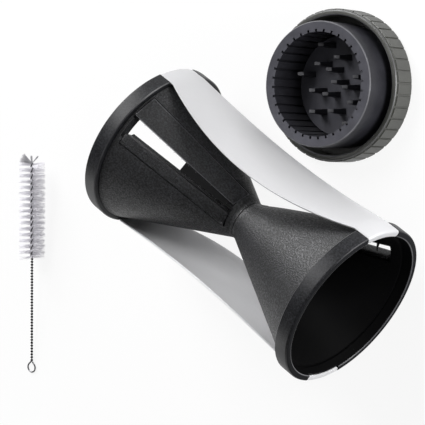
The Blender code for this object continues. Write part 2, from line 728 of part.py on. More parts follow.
def build_brush(parent):
    """The bristles' inner end and the loop rest on the table, so the wire slopes."""
    run = SEAT_GAP + STEM_LENGTH + 2 * LOOP_RADIUS
    reach = BRISTLE_RADIUS + BRISTLE_WIDTH
    slope = math.atan((reach - LOOP_WIRE_RADIUS) / run)
    tip_height = reach / math.cos(slope) + BRISTLE_LENGTH * math.sin(slope)
    brush = frame_empty(
        "brush", parent, (*BRUSH_TIP_PLACE, tip_height), (0, slope, BRUSH_HEADING)
    )
    nylon = finish("bristle_nylon", (0.80, 0.79, 0.78), 0.45)
    steel = finish("wire_steel", (0.35, 0.35, 0.36), 0.35, 1.0)
    piece("brush_bristles", bristle_mesh(), nylon, brush)
    stem = loft(twisted_strip(STEM_LENGTH, STEM_TURN, STEM_STEPS_PER_TURN))
    bmesh.ops.translate(stem, verts=stem.verts, vec=(BRISTLE_LENGTH + SEAT_GAP, 0, 0))
    wire = piece("brush_wire", stem, steel, brush)
    boolean(wire, cutter("wire loop", loop_mesh(), brush), "UNION")


def stand_on_origin(top):
    """Moves the whole set so that the middle of its foot is at the world origin."""
    bpy.context.view_layer.update()
    graph = bpy.context.evaluated_depsgraph_get()
    corners = []
    for item in bpy.data.objects:
        if item.type == "MESH" and not item.hide_render:
            solid = item.evaluated_get(graph)
            corners += [solid.matrix_world @ vert.co for vert in solid.data.vertices]
    lows = [min(corner[axis] for corner in corners) for axis in range(3)]
    highs = [max(corner[axis] for corner in corners) for axis in range(3)]
    top.location = (-(lows[0] + highs[0]) / 2, -(lows[1] + highs[1]) / 2, -lows[2])


def main():
    clear_scene()
    top = frame_empty("set")
    build_body(top)
    build_cap(top)
    build_brush(top)
    stand_on_origin(top)


main()
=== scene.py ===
"""Hourglass hand spiralizer on a pale table, with its food holder cap and cleaning brush.

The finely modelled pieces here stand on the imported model's frame and replace its plain
solids one by one. Everything is in metres.
"""

import json
import math
import random
from functools import cache

import bmesh
import bpy
from bpy.props import FloatProperty, FloatVectorProperty, IntProperty, PointerProperty
from mathutils import Euler, Matrix, Vector


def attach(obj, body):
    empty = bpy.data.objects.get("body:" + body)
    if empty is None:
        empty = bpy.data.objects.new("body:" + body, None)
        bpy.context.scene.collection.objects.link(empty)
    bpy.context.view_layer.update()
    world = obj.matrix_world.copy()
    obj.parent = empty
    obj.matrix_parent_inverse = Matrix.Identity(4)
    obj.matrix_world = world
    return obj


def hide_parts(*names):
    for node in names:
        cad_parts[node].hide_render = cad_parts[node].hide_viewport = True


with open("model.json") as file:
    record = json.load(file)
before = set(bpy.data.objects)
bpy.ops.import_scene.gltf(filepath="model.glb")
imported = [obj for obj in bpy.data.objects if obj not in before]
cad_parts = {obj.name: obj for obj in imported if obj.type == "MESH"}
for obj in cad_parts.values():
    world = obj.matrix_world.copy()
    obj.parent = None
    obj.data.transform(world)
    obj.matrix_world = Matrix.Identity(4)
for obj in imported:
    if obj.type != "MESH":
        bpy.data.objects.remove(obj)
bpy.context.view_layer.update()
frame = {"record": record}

bl_info = {
    "name": "Hand Spiralizer",
    "version": (1, 0, 0),
    "blender": (4, 5, 0),
    "location": "View3D > Sidebar > Spiralizer",
    "description": "Builds a hand spiralizer with its holder cap and cleaning brush",
    "category": "Add Mesh",
}

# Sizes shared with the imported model
SEAT_GAP = 0.0003
BODY_LENGTH = 0.119
RIM_RADIUS = 0.035
RIM_WIDTH = 0.0066
RIM_ROUND = 0.0009
RIM_BACK_CHAMFER = 0.0004
RIM_WALL = 0.0027
RIM_STEP = 0.002
MOUTH_DRAFT = 0.001
WAIST_RADIUS = 0.0086
WAIST_FLAT = 0.001
WAIST_FILLET = 0.004
FUNNEL_WALL = 0.0036
FUNNEL_FLOOR = 0.006
SPIGOT_LENGTH = 0.0026
SPIGOT_STEP = 0.0006
PLUG_RADIUS = 0.0042
PLUG_CHAMFER = 0.0006
STRAP_CLOCK = math.radians(80)
SLOT_FROM_STRAP = math.radians(50)
STRAP_THICKNESS = 0.0007
STRAP_END_HALF_ANGLE = math.radians(15.5)
STRAP_MIDDLE_HALF_WIDTH = 0.0158
STRAP_BOW = 0.0053
STRAP_CROWN = 1.2
STRAP_CREASE = 0.0014
STRAP_BEND = 0.0009
STRAP_FOLD_DEPTH = 0.0025
STRAP_CORNER = 0.0011
STRAP_SET_BACK = 0.0001
WINDOW_MARGINS = (0.0066, 0.0012)
WINDOW_UNDER_COVER = 0.0008
WINDOW_EDGE = (0.0054, 0.0098)
SLICE_THICKNESS = 0.0013
COVER_MARGINS = (0.0041, 0.0008)
COVER_WIDTH = (0.0078, 0.0102)
COVER_THICKNESS = 0.0014
COVER_LIFT = 0.0004
COVER_BACK_PROUD = 0.0002
BLADE_MARGINS = (0.0036, 0.0024)
BLADE_THROAT = (0.0014, 0.0054)
BLADE_BACK = (0.0070, 0.0112)
BLADE_THICKNESS = 0.0006
BLADE_BEVEL = 0.0012
BLADE_RISE = 0.12
BAR_FROM_THROAT = 0.0012
BAR_SLOPE_WIDTH = 0.0012
BAR_BACK = (0.0085, 0.0121)
BAR_PROUD = 0.0001
COMB_THICKNESS = 0.0005
TOOTH_REACH = 0.0032
TOOTH_ROOT = 0.0016
TOOTH_TIP = 0.0003
TOOTH_SWEEP = 0.0008
FAR_TOOTH_PITCH = 0.0036
NEAR_TOOTH_PITCH = 0.0052
CAP_PLACE = Vector((-0.0090, 0.0587, 0.0))
CAP_TURN = math.radians(33.2)
CAP_RADIUS = 0.0306
CAP_GRIP_HEIGHT = 0.012
CAP_GRIP_WALL = 0.0026
CAP_BASE = 0.002
CAP_EDGE = 0.0008
GRIP_PADS = 40
GRIP_PAD_HEIGHT = 0.0005
HOLDER_RADIUS = 0.025
HOLDER_HEIGHT = 0.0225
HOLDER_WALL = 0.0043
HOLDER_RIBS = 36
HOLDER_RIB_HEIGHT = 0.0011
SPIKE_PLATE = 0.0018
SPIKE_HEIGHT = 0.0088
SPIKE_LENGTH = 0.0034
SPIKE_WIDTH = 0.0026
SPIKE_TIP = 0.55
SPIKE_LEAN = 0.0005
SPIKE_SLANT = 0.0015
SPIKE_PLACES = (
    (-0.0047, 0.0165), (0.0029, 0.0112), (-0.0064, 0.0089), (-0.0009, 0.0064),
    (-0.0145, 0.0051), (0.0118, 0.0030), (0.0016, 0.0013), (-0.0090, -0.0017),
    (0.0067, -0.0009), (-0.0026, -0.0034), (0.0156, -0.0047), (0.0092, -0.0070),
    (-0.0090, -0.0102), (0.0000, -0.0102), (0.0067, -0.0153),
)
BRUSH_TIP_PLACE = Vector((-0.1286, -0.0522, 0.0))
BRUSH_HEADING = math.radians(-62.8)
BRISTLE_LENGTH = 0.0448
BRISTLE_RADIUS = 0.0061
BRISTLE_WIDTH = 0.0002
STEM_LENGTH = 0.0477
LOOP_RADIUS = 0.0022
LOOP_WIRE_RADIUS = 0.0005

# The brush's fine form. A tip tuft is its angle round the wire and that angle's spread, its lean
# forward from square and that lean's spread in degrees, its length and its count of strands.
CORE_WIRE = 0.00034
CORE_OFFSET = 0.00042
CORE_START = 0.0022
STEM_WIRE = 0.00033
STEM_TWIST = 0.00265
ROW_TWIST = 0.00532
ROW_PHASE = math.radians(60)
ROW_THICKNESS = 0.0003
STRAND_TAPER = 0.8
LOOP_CLEARANCE = 0.0002
LOOP_ROOT = 0.0006
WIRE_SIDES = 10
TWIST_SIDES = 8
TWIST_STEPS_PER_TURN = 14
TIP_TUFTS = (
    (52, 26, 26, 22, 0.0058, 110), (-30, 16, 68, 8, 0.0038, 16), (232, 12, 50, 5, 0.0042, 34),
)

# How far cutting shapes reach past what they cut, how near corners are made one, how far a
# painted range reaches past its faces, and how squarely a face looks along the axis
CUT_OVER = 0.003
CUT_UNDER = 0.004
CUT_WELD = 1e-7
SPIN_WELD = 1e-6
PAINT_OVER = 0.0002
FLAT = (0.95, 1.1)

# The cap's fine form
PAD_MARGIN = 0.0003
PAD_SLOPE = 0.00012
PAD_SHARE = 0.9
CAP_LIP = 0.0004

# Worked out from the sizes above
HALF_LENGTH = BODY_LENGTH / 2
RIM_BACK = HALF_LENGTH - RIM_WIDTH
MOUTH_RADIUS = RIM_RADIUS - RIM_WALL
CONE_TOP = RIM_BACK - SEAT_GAP
CONE_END_RADIUS = RIM_RADIUS - RIM_STEP
CONE_SLOPE = (CONE_END_RADIUS - WAIST_RADIUS) / (CONE_TOP - WAIST_FLAT)
CONE_ANGLE = math.atan(CONE_SLOPE)
CONE_COS = math.cos(CONE_ANGLE)
SPIGOT_TOP = RIM_BACK + SPIGOT_LENGTH - SEAT_GAP
SPIGOT_RADIUS = CONE_END_RADIUS - SPIGOT_STEP
STRAP_OUTER = RIM_RADIUS - STRAP_SET_BACK
STRAP_FACE = HALF_LENGTH - STRAP_SET_BACK
STRAP_CREASE_HEIGHT = RIM_BACK - STRAP_CREASE
RECESS_RADIUS = STRAP_OUTER - STRAP_THICKNESS - SEAT_GAP
RECESS_FACE = STRAP_FACE - STRAP_THICKNESS - SEAT_GAP
STRAP_MIDDLE_RADIUS = STRAP_OUTER - STRAP_BOW
STRAP_CROWN_RADIUS = STRAP_OUTER * STRAP_CROWN
WINDOW_ENDS = (WINDOW_MARGINS[0], CONE_TOP - WINDOW_MARGINS[1])
COVER_ENDS = (COVER_MARGINS[0], CONE_TOP - COVER_MARGINS[1])
BLADE_ENDS = (BLADE_MARGINS[0], CONE_TOP - BLADE_MARGINS[1])
BLADE_DEPTH = FUNNEL_WALL + SLICE_THICKNESS

# Places, taken from the faces that the record names
MOUNTS = {mount["name"]: Vector(mount["pos_m"]) for mount in frame["record"]["mounts"]}
CAP_FOOT = MOUNTS["cap_back_face"]
BODY_FOOT = CAP_FOOT - CAP_PLACE
BODY_MIDDLE = BODY_FOOT + Vector((0, 0, RIM_RADIUS))
LYING = Matrix.Translation(BODY_MIDDLE) @ Matrix.Rotation(math.pi / 2, 4, "Y")
NEAR_HALF = LYING @ Euler((0, 0, math.pi - STRAP_CLOCK - SLOT_FROM_STRAP)).to_matrix().to_4x4()
FAR_HALF = LYING @ Euler(
    (math.pi, 0, math.pi - STRAP_CLOCK + SLOT_FROM_STRAP)
).to_matrix().to_4x4()
CAP_FRAME = Matrix.Translation(CAP_FOOT) @ Matrix.Rotation(CAP_TURN, 4, "Z")

# Camera, at the photograph's place and angle
CAMERA_PLACE = Vector((0.40619, 0.27752, 0.70683))
CAMERA_TURN = Euler((math.radians(-0.457), math.radians(37.171), math.radians(33.171)))
CAMERA_LENS = 177.88
CAMERA_SENSOR = 36.0
CAMERA_NEAREST = 0.01

# Lamps: what they look at, how far off they stand, their size and their power
LAMPS = {
    "key_light": (BODY_MIDDLE, (-0.8, 0.42, 0.32), 0.4, 6.6),
    "fill_light": (BODY_MIDDLE, (-0.4, -0.75, 0.15), 0.3, 0.8),
    "top_light": (BODY_MIDDLE, (-0.5, 0.38, 0.78), 0.4, 5.4),
    "cap_light": (CAP_FOOT, (0.16, 0.1, 0.05), 0.08, 0.32),
}

# How brightly the table and the white surroundings show to the camera and in reflections
TABLE_HALF_SIZE = 4.0
TABLE_GLOW_SEEN = 0.88
TABLE_GLOW_MIRRORED = 0.8
TABLE_MIRROR_LOSS = 0.14
SKY_LIGHT = 0.38
SKY_SEEN = 0.62
SKY_MIRROR_LOSS = 0.28


def brush_frame():
    """The bristles' inner end and the loop rest on the table, so the wire slopes."""
    run = SEAT_GAP + STEM_LENGTH + 2 * LOOP_RADIUS
    reach = BRISTLE_RADIUS + BRISTLE_WIDTH
    slope = math.atan((reach - LOOP_WIRE_RADIUS) / run)
    tip_height = reach / math.cos(slope) + BRISTLE_LENGTH * math.sin(slope)
    place = BODY_FOOT + BRUSH_TIP_PLACE + Vector((0, 0, tip_height))
    return Matrix.Translation(place) @ Euler((0, slope, BRUSH_HEADING)).to_matrix().to_4x4()


def length_setting(name, description, default, least, most):
    return FloatProperty(
        name=name, description=description, default=default, min=least, max=most,
        unit="LENGTH", precision=6,
    )


class SpiralizerSizes(bpy.types.PropertyGroup):
    """How finely the pieces are cut and rounded."""

    round_steps: IntProperty(
        name="Facets Round the Body", description="Facets of the funnels and rims",
        default=128, min=48, max=256,
    )
    slot_steps: IntProperty(
        name="Steps Along the Slot", description="Sections of each piece along the slot",
        default=20, min=4, max=60,
    )
    edge_round: length_setting(
        "Edge Rounding", "Rounding of moulded edges", 0.00022, 0.00005, 0.0006
    )
    strap_edge: length_setting(
        "Strap Edge", "Rounding of the straps' cut edges", 0.00018, 0.00005, 0.0003
    )
    strands_per_turn: IntProperty(
        name="Strands Per Turn", description="Bristles in one full turn of the brush",
        default=300, min=40, max=600,
    )
    strand_radius: length_setting(
        "Strand Radius", "Radius of one bristle", 0.00008, 0.00003, 0.0002
    )
    strand_scatter: FloatProperty(
        name="Strand Scatter", description="Angle by which bristles stray round the wire",
        default=0.2, min=0.0, max=1.0, subtype="ANGLE",
    )
    strand_spread: FloatProperty(
        name="Strand Spread", description="Lean along the wire as a share of a bristle's length",
        default=0.12, min=0.0, max=0.4,
    )
    loop_wire: length_setting(
        "Loop Wire", "Radius of the wire of the loop", 0.00036, 0.0002, 0.0005
    )


def colour_setting(name, description, default):
    return FloatVectorProperty(
        name=name, description=description, subtype="COLOR", default=default, min=0, max=1
    )


class SpiralizerColours(bpy.types.PropertyGroup):
    """Colours of the plastics, steels and nylon."""

    textured: colour_setting(
        "Textured Plastic", "Cones, covers and bars", (0.0085, 0.0087, 0.0098)
    )
    smooth: colour_setting("Smooth Plastic", "Rims and the waist plug", (0.0115, 0.0118, 0.0137))
    # The bore colour is painted shade, about a third as bright as the smooth plastic, so the
    # inside reads dark
    bore: colour_setting("Polished Bore", "Inside of the funnels", (0.0036, 0.0036, 0.0038))
    cap: colour_setting("Cap Plastic", "Holder tube and spikes", (0.018, 0.018, 0.022))
    grip: colour_setting("Grip Plastic", "The cap's knurled grip", (0.038, 0.039, 0.034))
    # The edge colour is a painted highlight, about ten times paler than the plastics beside it
    edge: colour_setting(
        "Worn Edge", "Edges of the rims and the cap that catch the light", (0.12, 0.12, 0.13)
    )
    strap: colour_setting("Strap Steel", "Side straps", (0.57, 0.57, 0.582))
    blade: colour_setting("Blade Steel", "Blades and combs", (0.66, 0.66, 0.67))
    loop: colour_setting("Loop Steel", "Bare wire at the end of the brush", (0.32, 0.32, 0.33))
    # The twist colour is a painted dark reflection: the same steel as the loop, painted
    # near-black
    twist: colour_setting(
        "Twisted Steel", "The brush's two wires where they are twisted", (0.028, 0.028, 0.031)
    )
    nylon: colour_setting("Nylon", "Bristles", (0.80, 0.79, 0.825))
    table: colour_setting("Table", "The pale floor", (0.86, 0.86, 0.86))


class Wire:
    """A shader value that sums can be written with."""

    def __init__(self, finish, socket):
        self.finish = finish
        self.socket = socket

    def _math(self, operation, other, swapped=False):
        pair = (other, self) if swapped else (self, other)
        return self.finish.node(
            "ShaderNodeMath", {"operation": operation}, {0: pair[0], 1: pair[1]}
        )

    def __add__(self, other):
        return self._math("ADD", other)

    def __sub__(self, other):
        return self._math("SUBTRACT", other)

    def __rsub__(self, other):
        return self._math("SUBTRACT", other, swapped=True)

    def __mul__(self, other):
        return self._math("MULTIPLY", other)

    __radd__ = __add__
    __rmul__ = __mul__


class Finish:
    """A material of one of the colours, being put together from nodes."""

    def __init__(self, name, colour):
        self.colour = getattr(colours(), colour)
        self.material = bpy.data.materials.new(name)
        self.material.use_nodes = True
        self.tree = self.material.node_tree
        self.shader = self.tree.nodes["Principled BSDF"]

    def node(self, kind, settings=None, inputs=None, output=0):
        made = self.tree.nodes.new(kind)
        for key, value in (settings or {}).items():
            setattr(made, key, value)
        for key, value in (inputs or {}).items():
            self.feed(made.inputs[key], value)
        return Wire(self, made.outputs[output])

    def feed(self, socket, value):
        if isinstance(value, Wire):
            self.tree.links.new(value.socket, socket)
        else:
            socket.default_value = value

    @classmethod
    def of_tree(cls, tree):
        """Works on a tree that isn't a material's."""
        made = cls.__new__(cls)
        made.tree = tree
        return made

    def output(self, wire, name):
        """Another output of a node that is already there."""
        return Wire(self, wire.socket.node.outputs[name])

    def set(self, **values):
        """Feeds the main shader; underscores stand for spaces in a socket's name."""
        for key, value in values.items():
            self.feed(self.shader.inputs[key.replace("_", " ")], value)

    def place(self, scale=(1, 1, 1)):
        coords = self.node("ShaderNodeTexCoord", output="Object")
        return self.node("ShaderNodeMapping", inputs={"Vector": coords, "Scale": scale})

    def noise(self, scale, detail, roughness, place=None):
        return self.node(
            "ShaderNodeTexNoise",
            inputs={
                "Vector": place or self.place(), "Scale": scale, "Detail": detail,
                "Roughness": roughness,
            },
        )

    def shades(self, share, low, high):
        """The finish's colour, from one multiple of itself to another."""
        return self.node(
            "ShaderNodeMix", {"data_type": "RGBA"},
            {"Factor": share, "A": rgba(self.colour, low), "B": rgba(self.colour, high)},
            output="Result",
        )

    def clamped(self, value):
        return self.node("ShaderNodeMath", {"operation": "ADD", "use_clamp": True},
                         {0: value, 1: 0.0})

    def bump(self, height, distance, strength):
        return self.node(
            "ShaderNodeBump",
            inputs={"Height": height, "Distance": distance, "Strength": strength},
            output="Normal",
        )


def rgba(colour, share=1.0):
    return (*(part * share for part in colour), 1.0)


def colours():
    return bpy.context.scene.spiralizer_colours


def sizes():
    return bpy.context.scene.spiralizer_sizes


# Finishes that follow one noise: the colour's name, the noise's scale, detail and roughness, the
# colour's darkest and palest multiple, the surface's roughness and its range, and its constants
PLAIN_FINISHES = {
    # Moulded edges painted pale as a painted highlight, for the light that they catch
    "worn_edge": ("edge", (200.0, 2.0, 0.5), (0.6, 1.3), (0.26, 0.1), {}),
    # Chamfered edges with a dimmer painted highlight, a little paler than the faces beside them
    "dull_edge": ("edge", (200.0, 2.0, 0.5), (0.2, 0.5), (0.3, 0.1), {}),
    # The rims' flat ends, which stay darker than the bands round them
    "matt_plastic": (
        "smooth", (1600.0, 2.0, 0.6), (0.5, 1.4), (0.6, 0.1), {"Specular_IOR_Level": 0.06},
    ),
    # The smooth inside that the vegetable turns on, painted darker than the outside as painted
    # shade
    "polished_bore": (
        "bore", (90.0, 3.0, 0.5), (0.8, 1.3), (0.5, 0.1), {"Specular_IOR_Level": 0.03},
    ),
    # The cap's upward flat faces, painted paler than its walls as painted light
    "cap_face": ("cap", (150.0, 3.0, 0.6), (1.8, 4.2), (0.36, 0.2), {"Specular_IOR_Level": 0.4}),
    # Twisted wire painted near-black as a painted dark reflection, darker than the loop's bare
    # steel
    "twisted_steel": ("twist", (2400.0, 2.0, 0.5), (0.4, 1.7), (0.3, 0.2), {"Metallic": 0.8}),
    # The bare wire of the loop
    "wire_steel": ("loop", (2400.0, 2.0, 0.5), (0.5, 1.6), (0.22, 0.2), {"Metallic": 1.0}),
    # The tip's strands, painted a darker grey as painted shade of the dense tufts
    "tip_nylon": ("nylon", (500.0, 2.0, 0.5), (0.5, 0.8), (0.4, 0.2), {}),
}


@cache
def plain(name):
    """A finish of that table."""
    colour, noise, multiples, roughness, constants = PLAIN_FINISHES[name]
    finish = Finish(name, colour)
    cloud = finish.noise(*noise)
    finish.set(
        Base_Color=finish.shades(cloud, *multiples),
        Roughness=roughness[0] + cloud * roughness[1],
        **constants,
    )
    return finish.material


def speckled(name, colour, grain, cloud, weights, multiples, roughness, bump, specular):
    """Moulded plastic whose fine grain catches the light in specks."""
    finish = Finish(name, colour)
    grain = finish.noise(grain, 2.0, 0.6)
    cloud = finish.noise(cloud, 2.0, 0.5)
    speck = finish.clamped((grain - 0.5) * weights[0] + (cloud - 0.5) * weights[1] + weights[2])
    finish.set(
        Base_Color=finish.shades(speck, *multiples),
        Roughness=roughness[0] + speck * roughness[1],
        Normal=finish.bump(grain, *bump),
        Specular_IOR_Level=specular,
    )
    return finish.material


@cache
def textured_plastic():
    return speckled("textured_plastic", "textured", 1500.0, 70.0, (4.5, 0.6, 0.38), (0.3, 3.8),
                    (0.56, -0.2), (0.0003, 1.0), 0.65)


@cache
def smooth_plastic():
    return speckled("smooth_plastic", "smooth", 1600.0, 60.0, (3.0, 1.0, 0.3), (0.5, 2.6),
                    (0.38, 0.1), (0.0001, 0.5), 0.3)


@cache
def cap_plastic():
    finish = Finish("cap_plastic", "cap")
    cloud = finish.noise(150.0, 3.0, 0.6)
    peel = finish.noise(900.0, 2.0, 0.5)
    finish.set(
        Base_Color=finish.shades(cloud, 0.5, 1.8),
        Roughness=0.3 + cloud * 0.2,
        Normal=finish.bump(peel, 0.00008, 0.5),
        Specular_IOR_Level=0.3,
    )
    return finish.material


@cache
def grip_plastic():
    finish = Finish("grip_plastic", "grip")
    cloud = finish.noise(120.0, 3.0, 0.6)
    grain = finish.noise(1800.0, 2.0, 0.6)
    finish.set(
        Base_Color=finish.shades(cloud * 0.6 + grain * 0.4, 0.4, 1.7),
        Roughness=0.34 + grain * 0.16,
        Normal=finish.bump(grain, 0.00008, 0.6),
        Specular_IOR_Level=0.75,
    )
    return finish.material


def sheet_steel(name, share):
    """Satin sheet with fine lengthwise brushing; a share above one gives a paler copy, as painted
    light.
    """
    finish = Finish(name, "strap")
    along = finish.place(scale=(0.03, 1.0, 1.0))
    streak = finish.noise(2600.0, 3.0, 0.6, along)
    cloud = finish.noise(26.0, 2.0, 0.5)
    tone = cloud * 0.6 + streak * 0.4
    finish.set(
        Base_Color=finish.shades(tone, share * 0.9, share * 1.08),
        Roughness=0.4 + streak * 0.1 + cloud * 0.06,
        Normal=finish.bump(streak, 0.00002, 0.5),
        Metallic=0.4,
    )
    return finish.material


@cache
def blade_steel():
    finish = Finish("blade_steel", "blade")
    along = finish.place(scale=(1.0, 0.2, 1.0))
    ground = finish.noise(1800.0, 2.0, 0.6, along)
    finish.set(
        Base_Color=finish.shades(ground, 0.85, 1.15),
        Roughness=0.16 + ground * 0.14,
        Normal=finish.bump(ground, 0.00002, 0.4),
        Metallic=1.0,
    )
    return finish.material


@cache
def bristle_nylon():
    finish = Finish("bristle_nylon", "nylon")
    tint = finish.noise(500.0, 2.0, 0.5)
    # The faint emission below is painted light that lifts the bristles' shaded sides
    finish.set(
        Base_Color=finish.shades(tint, 0.9, 1.04),
        Roughness=0.3 + tint * 0.2,
        Emission_Color=finish.shades(tint, 0.04, 0.09),
        Emission_Strength=1.0,
    )
    return finish.material


def faces_towards_axis(bm, centre, axis):
    """Faces of a turned shape whose outside looks at the shape's own axis."""
    inward = []
    for face in bm.faces:
        offset = face.calc_center_median() - centre
        offset -= axis * offset.dot(axis)
        if offset.length > 0 and face.normal.dot(offset.normalized()) < -0.3:
            inward.append(face)
    return inward


def paint(bm, index, low, high, tilt):
    """Gives a finish to the faces of a turned shape between two (radius, height) corners whose
    upward tilt lies in a range."""
    for face in bm.faces:
        middle = face.calc_center_median()
        inside = low[0] < middle.xy.length < high[0] and low[1] < middle.z < high[1]
        if inside and tilt[0] < face.normal.z < tilt[1]:
            face.material_index = index


def mesh_of(bm, name):
    """Makes a bmesh into a mesh, which ends the bmesh."""
    mesh = bpy.data.meshes.new(name)
    bm.to_mesh(mesh)
    bm.free()
    return mesh


def in_scene(name, data):
    made = bpy.data.objects.new(name, data)
    bpy.context.scene.collection.objects.link(made)
    return made


def finished(name, bm, finishes, body, nodes, sharp=32.0):
    """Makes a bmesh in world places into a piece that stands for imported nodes."""
    mesh = mesh_of(bm, name)
    mesh.shade_smooth()
    mesh.set_sharp_from_angle(angle=math.radians(sharp))
    for finish in finishes:
        mesh.materials.append(finish)
    made = in_scene(name, mesh)
    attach(made, body)
    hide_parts(*nodes)
    return made


def carved(bm, tools, operation="DIFFERENCE"):
    """Cuts other solids out of a solid, or joins them to it, and returns the result."""
    blank = in_scene("blank", mesh_of(bm, "blank"))
    helpers = []
    for tool in tools:
        helpers.append(in_scene("tool", mesh_of(tool, "tool")))
        step = blank.modifiers.new("cut", "BOOLEAN")
        step.operation = operation
        step.solver = "EXACT"
        step.object = helpers[-1]
    graph = bpy.context.evaluated_depsgraph_get()
    result = bmesh.new()
    result.from_mesh(blank.evaluated_get(graph).data)
    for item in [blank, *helpers]:
        bpy.data.objects.remove(item)
    bmesh.ops.remove_doubles(result, verts=result.verts, dist=CUT_WELD)
    return result


def soften(bm, width, finish=-1):
    """Rounds the edges that turn more than an angle, and can give them a finish of their own."""
    limit = math.radians(35)
    edges = [edge for edge in bm.edges if edge.calc_face_angle(0.0) > limit]
    bmesh.ops.bevel(
        bm, geom=edges, offset=width, offset_type="OFFSET", affect="EDGES", segments=2,
        profile=0.5, material=finish, clamp_overlap=True,
    )


def outward(bm):
    bmesh.ops.recalc_face_normals(bm, faces=bm.faces)
    return bm


def placed(bm, place):
    bmesh.ops.transform(bm, matrix=place, verts=bm.verts)
    return outward(bm)


def turned(points, closed=True, steps=None):
    """A solid of revolution round local Z from (radius, height) pairs."""
    bm = bmesh.new()
    verts = [bm.verts.new((radius, 0, height)) for radius, height in points]
    edges = [bm.edges.new(pair) for pair in zip(verts, verts[1:])]
    if closed:
        edges.append(bm.edges.new((verts[-1], verts[0])))
    bmesh.ops.spin(
        bm, geom=verts + edges, axis=(0, 0, 1), angle=math.tau,
        steps=steps or sizes().round_steps, use_merge=True,
    )
    bmesh.ops.remove_doubles(bm, verts=bm.verts, dist=SPIN_WELD)
    return outward(bm)


def sector(points, middle, half_angle, steps):
    """A closed part of a solid of revolution, centred on an angle."""
    bm = bmesh.new()
    verts = [bm.verts.new((radius, 0, height)) for radius, height in points]
    bmesh.ops.rotate(bm, verts=verts, matrix=Matrix.Rotation(middle - half_angle, 3, "Z"))
    face = bm.faces.new(verts)
    bmesh.ops.spin(
        bm, geom=[face, *face.edges, *verts], axis=(0, 0, 1), angle=2 * half_angle, steps=steps
    )
    return outward(bm)


def arc(centre, radius, start, end, steps):
    """Points of an arc in the (radius, height) plane, angles in degrees."""
    angles = [math.radians(start + (end - start) * i / steps) for i in range(steps + 1)]
    return [(centre[0] + radius * math.cos(a), centre[1] + radius * math.sin(a)) for a in angles]


def between(pair, height, ends):
    """A size that changes evenly from the waist end of a piece to its mouth end."""
    share = (height - ends[0]) / (ends[1] - ends[0])
    return pair[0] + (pair[1] - pair[0]) * share


def loft(outlines):
    """A closed solid through a row of outlines with the same number of points."""
    bm = bmesh.new()
    loops = []
    for outline in outlines:
        verts = [bm.verts.new(point) for point in outline]
        pairs = zip(verts, verts[1:] + verts[:1])
        loops.append((verts, [bm.edges.new(pair) for pair in pairs]))
    for (_, here), (_, there) in zip(loops, loops[1:]):
        bmesh.ops.bridge_loops(bm, edges=here + there)
    bmesh.ops.contextual_create(bm, geom=loops[0][1])
    bmesh.ops.contextual_create(bm, geom=loops[-1][1])
    return outward(bm)


# The funnels and what is let into their slots. A place at the slot is a distance across from
# the cover's free edge, positive under the cover, and a rise over the cone, square to it.

def cone_radius(height, depth=0.0):
    return WAIST_RADIUS + CONE_SLOPE * (height - WAIST_FLAT) - depth / CONE_COS


def surface_rise(height, across):
    """How far the cone has curved away at a distance across, as a rise."""
    radius = cone_radius(height)
    return (math.sqrt(radius ** 2 - across ** 2) - radius) * CONE_COS


def slot_solid(ends, section, steps=None):
    steps = steps or sizes().slot_steps
    outlines = []
    for i in range(steps + 1):
        height = ends[0] + (ends[1] - ends[0]) * i / steps
        radius = cone_radius(height)
        outlines.append([
            (radius + rise / CONE_COS, across, height) for across, rise in section(height)
        ])
    return loft(outlines)


def grown(ends, margin):
    return ends[0] - margin, ends[1] + margin


def blade_rise(height, across):
    throat = between(BLADE_THROAT, height, BLADE_ENDS)
    return -BLADE_DEPTH + BLADE_RISE * (-across - throat)


def window_section(height):
    edge = between(WINDOW_EDGE, height, WINDOW_ENDS)
    deep = -FUNNEL_WALL - CUT_UNDER
    return [
        (WINDOW_UNDER_COVER, CUT_OVER), (-edge, CUT_OVER), (-edge, deep),
        (WINDOW_UNDER_COVER, deep),
    ]


def cover_section(height, margin=0.0, raised=0.0):
    width = between(COVER_WIDTH, height, COVER_ENDS) + margin
    back = surface_rise(height, width) + COVER_BACK_PROUD
    drop = COVER_THICKNESS + margin
    front = -margin * 4
    return [
        (front, COVER_LIFT + raised), (width, back + raised),
        (width, back - drop), (front, COVER_LIFT - drop),
    ]


def blade_section(height):
    throat = between(BLADE_THROAT, height, BLADE_ENDS)
    back = between(BLADE_BACK, height, BLADE_ENDS)
    bevel = throat + BLADE_BEVEL
    return [
        (-throat, blade_rise(height, -throat)),
        (-bevel, blade_rise(height, -bevel) + BLADE_THICKNESS),
        (-back, blade_rise(height, -back) + BLADE_THICKNESS),
        (-back, blade_rise(height, -back)),
    ]


def bar_section(height):
    foot = between(BLADE_THROAT, height, BLADE_ENDS) + BAR_FROM_THROAT
    front = foot + BAR_SLOPE_WIDTH
    back = between(BAR_BACK, height, BLADE_ENDS)
    lift = BLADE_THICKNESS + SEAT_GAP
    steps = 6
    top = []
    for i in range(steps + 1):
        across = -front + (front - back) * i / steps
        top.append((across, surface_rise(height, across) + BAR_PROUD))
    return [(-foot, blade_rise(height, -foot) + lift), *top,
            (-back, blade_rise(height, -back) + lift)]


def bar_pocket_section(height):
    back = between(BAR_BACK, height, BLADE_ENDS) + SEAT_GAP
    front = between(BLADE_THROAT, height, BLADE_ENDS) - SEAT_GAP
    return [
        (-front, CUT_OVER), (-back, CUT_OVER),
        (-back, blade_rise(height, -back) - SEAT_GAP),
        (-front, blade_rise(height, -front) - SEAT_GAP),
    ]


def comb_section(_height):
    top = COVER_LIFT - COVER_THICKNESS - SEAT_GAP
    return [
        (0.0, top), (COMB_THICKNESS, top),
        (COMB_THICKNESS, SEAT_GAP - FUNNEL_WALL), (0.0, SEAT_GAP - FUNNEL_WALL),
    ]


